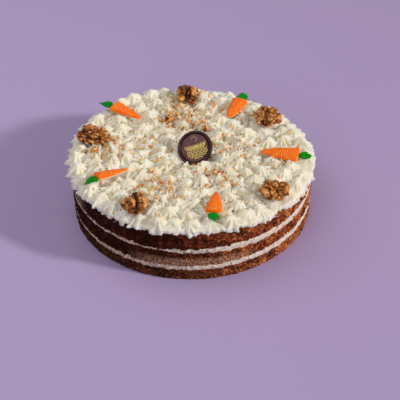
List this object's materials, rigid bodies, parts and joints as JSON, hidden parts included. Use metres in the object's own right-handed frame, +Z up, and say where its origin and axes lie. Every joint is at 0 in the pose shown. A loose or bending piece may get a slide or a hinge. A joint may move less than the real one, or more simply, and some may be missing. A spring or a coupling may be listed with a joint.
{
  "type": "carrot cake",
  "caption": "Round layered carrot cake with cream fillings, a top of piped cream stars, walnut halves, sugar carrots and a tilted chocolate disc.",
  "frame": {"origin": "centre of the cake's flat underside", "axes": "+Z up through the layers, -Y towards the front, the side that the chocolate disc faces, +X to the right"},
  "size_m": [0.2435, 0.2434, 0.0816],
  "materials": {
    "sponge": "moist open crumb, matt, deep brown cut side",
    "filling": "spread cream, satin, smeared with crumbs",
    "cream": "piped whipped cream, satin, slightly translucent",
    "walnut": "dry kernel skin, semi-matt, folded",
    "sugar_orange": "moulded sugar, satin, finely ribbed",
    "sugar_green": "moulded sugar, satin",
    "chocolate": "dark chocolate, soft sheen, gold dusting on the face"
  },
  "bodies": {
    "root": {"sponge_bottom": "sponge", "sponge_middle": "sponge", "sponge_top": "sponge", "cream_lower": "filling", "cream_upper": "filling", "cream_top": "cream", "walnut_1": "walnut", "walnut_2": "walnut", "walnut_3": "walnut", "walnut_4": "walnut", "walnut_5": "walnut", "walnut_piece_1": "walnut", "walnut_piece_2": "walnut", "walnut_piece_3": "walnut", "walnut_piece_4": "walnut", "carrot_1": "sugar_orange", "carrot_2": "sugar_orange", "carrot_3": "sugar_orange", "carrot_4": "sugar_orange", "carrot_5": "sugar_orange", "carrot_leaf_1": "sugar_green", "carrot_leaf_2": "sugar_green", "carrot_leaf_3": "sugar_green", "carrot_leaf_4": "sugar_green", "carrot_leaf_5": "sugar_green", "chocolate_disc": "chocolate"}
  },
  "joints": []
}
